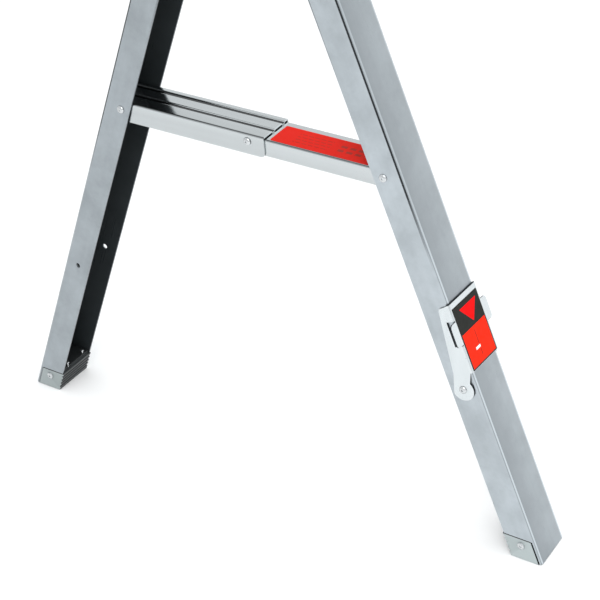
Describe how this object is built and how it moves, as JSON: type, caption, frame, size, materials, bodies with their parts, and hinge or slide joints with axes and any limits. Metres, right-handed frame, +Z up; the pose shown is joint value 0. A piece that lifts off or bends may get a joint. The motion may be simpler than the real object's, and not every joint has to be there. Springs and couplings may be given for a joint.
{
  "type": "tripod step ladder",
  "caption": "Step ladder with flared channel stiles, ribbed treads, a fold-out side pedal and one hinged telescoping rear leg.",
  "frame": {"origin": "centre of the object's bounding box, on the ground", "axes": "+X across the steps to the right of a person who faces the ladder, +Y from the front frame towards the rear leg, +Z up"},
  "size_m": [0.739, 1.1667, 1.651],
  "materials": {
    "stile_aluminium": "brushed along its length and lightly anodised",
    "step_aluminium": "bright rolled sheet",
    "tube_aluminium": "satin drawn tube",
    "cast_aluminium": "die-cast, bead-blasted",
    "bracket_steel": "zinc-plated sheet",
    "pedal_steel": "bright pressed sheet",
    "fastener_steel": "smooth heads",
    "shoe_plastic": "grey-green moulded plastic",
    "sole_rubber": "moulded rubber",
    "clamp_plastic": "black filled plastic",
    "label_film": "printed film without text"
  },
  "bodies": {
    "front_frame": {"stile_left": "stile_aluminium", "stile_right": "stile_aluminium", "shoe_left": "shoe_plastic", "shoe_left_screw": "fastener_steel", "shoe_right": "shoe_plastic", "shoe_right_screw": "fastener_steel", "lowest_step_ribbed_half": "step_aluminium", "lowest_step_plain_half": "step_aluminium", "lap_rivet_front": "fastener_steel", "lap_rivet_rear": "fastener_steel", "step_2": "step_aluminium", "step_3": "step_aluminium", "step_4": "step_aluminium", "step_1_rivet_left_front": "fastener_steel", "step_1_rivet_left_rear": "fastener_steel", "step_1_rivet_right_front": "fastener_steel", "step_1_rivet_right_rear": "fastener_steel", "step_2_rivet_left_front": "fastener_steel", "step_2_rivet_left_rear": "fastener_steel", "step_2_rivet_right_front": "fastener_steel", "step_2_rivet_right_rear": "fastener_steel", "step_3_rivet_left_front": "fastener_steel", "step_3_rivet_left_rear": "fastener_steel", "step_3_rivet_right_front": "fastener_steel", "step_3_rivet_right_rear": "fastener_steel", "step_4_rivet_left_front": "fastener_steel", "step_4_rivet_left_rear": "fastener_steel", "step_4_rivet_right_front": "fastener_steel", "step_4_rivet_right_rear": "fastener_steel", "step_label": "label_film", "pedal_pin": "fastener_steel", "head_bracket": "bracket_steel", "head_bolt_left_front": "fastener_steel", "head_bolt_left_rear": "fastener_steel", "head_bolt_right_front": "fastener_steel", "head_bolt_right_rear": "fastener_steel", "top_step": "step_aluminium", "top_rivet_1": "fastener_steel", "top_rivet_2": "fastener_steel", "top_rivet_3": "fastener_steel", "top_rivet_4": "fastener_steel", "leg_hinge_bolt": "fastener_steel", "leg_hinge_nut": "fastener_steel"},
    "pedal": {"pedal": "pedal_steel", "pedal_label": "label_film"},
    "rear_leg": {"leg_head": "cast_aluminium", "leg_upper_tube": "tube_aluminium", "clamp_collar": "clamp_plastic"},
    "clamp_knob": {"clamp_knob": "clamp_plastic"},
    "leg_extension": {"leg_lower_tube": "tube_aluminium", "rear_foot_pin": "fastener_steel"},
    "rear_foot": {"rear_foot": "shoe_plastic", "rear_foot_sole": "sole_rubber"}
  },
  "joints": [
    {"name": "pedal_fold", "type": "hinge", "parent": "front_frame", "child": "pedal", "pos_m": [0.27023, -0.54346, 0.20518], "axis": [0, 0.9986, -0.0523], "range_deg": [0, 92]},
    {"name": "rear_leg_fold", "type": "hinge", "parent": "front_frame", "child": "rear_leg", "pos_m": [0, -0.41339, 1.56934], "axis": [1, 0, 0], "range_deg": [-34, 0]},
    {"name": "leg_length", "type": "slide", "parent": "rear_leg", "child": "leg_extension", "axis": [0, 0.5273, -0.8497], "range_m": [-0.6, 0.12]},
    {"name": "clamp_knob_turn", "type": "hinge", "parent": "rear_leg", "child": "clamp_knob", "pos_m": [0, 0.14663, 0.667], "axis": [1, 0, 0], "range_deg": [0, 360]},
    {"name": "rear_foot_tilt", "type": "hinge", "parent": "leg_extension", "child": "rear_foot", "pos_m": [0, 0.53825, 0.036], "axis": [1, 0, 0], "range_deg": [-65, 130]}
  ]
}
